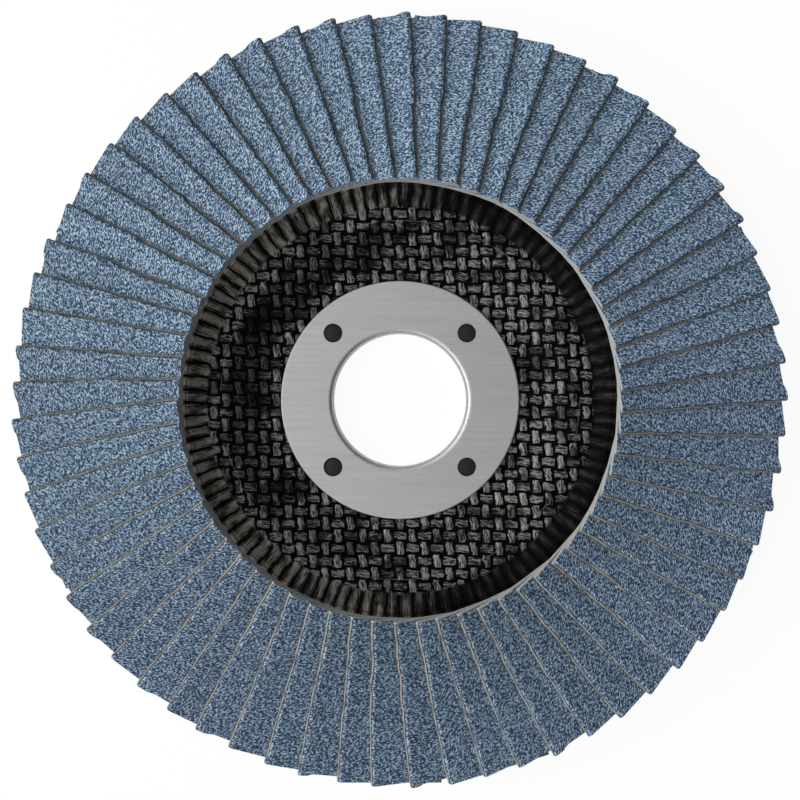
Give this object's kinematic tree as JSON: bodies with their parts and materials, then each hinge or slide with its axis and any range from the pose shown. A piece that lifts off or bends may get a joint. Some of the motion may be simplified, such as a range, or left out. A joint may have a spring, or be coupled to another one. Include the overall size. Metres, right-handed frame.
{
  "type": "flap disc",
  "caption": "Abrasive flap disc with overlapping cloth flaps fanned on a woven glass-fibre backing plate, with a recessed hub and a metal-lined bore.",
  "frame": {"origin": "on the bore axis at the back face of the hub, which is the lowest face and the one the disc rests on", "axes": "+Z along the bore axis, out of the abrasive side; X and Y across the disc, along the threads of the plate's weave"},
  "size_m": [0.125, 0.125, 0.014],
  "materials": {
    "glass_fibre_plate": "matte",
    "ring_metal": "brushed",
    "adhesive": "satin",
    "abrasive_cloth": "gritty"
  },
  "bodies": {
    "root": {"backing_plate": "glass_fibre_plate", "centre_ring": "ring_metal", "adhesive_ring": "adhesive", "flaps_01_02": "abrasive_cloth", "flaps_03_04": "abrasive_cloth", "flaps_05_06": "abrasive_cloth", "flaps_07_08": "abrasive_cloth", "flaps_09_10": "abrasive_cloth", "flaps_11_12": "abrasive_cloth", "flaps_13_14": "abrasive_cloth", "flaps_15_16": "abrasive_cloth", "flaps_17_18": "abrasive_cloth", "flaps_19_20": "abrasive_cloth", "flaps_21_22": "abrasive_cloth", "flaps_23_24": "abrasive_cloth", "flaps_25_26": "abrasive_cloth", "flaps_27_28": "abrasive_cloth", "flaps_29_30": "abrasive_cloth", "flaps_31_32": "abrasive_cloth", "flaps_33_34": "abrasive_cloth", "flaps_35_36": "abrasive_cloth", "flaps_37_38": "abrasive_cloth", "flaps_39_40": "abrasive_cloth", "flaps_41_42": "abrasive_cloth", "flaps_43_44": "abrasive_cloth", "flaps_45_46": "abrasive_cloth", "flaps_47_48": "abrasive_cloth", "flaps_49_50": "abrasive_cloth", "flaps_51_52": "abrasive_cloth", "flaps_53_54": "abrasive_cloth", "flaps_55_56": "abrasive_cloth", "flaps_57_58": "abrasive_cloth", "flaps_59_60": "abrasive_cloth", "flaps_61_62": "abrasive_cloth", "flaps_63_64": "abrasive_cloth", "flap_65": "abrasive_cloth"}
  },
  "joints": []
}
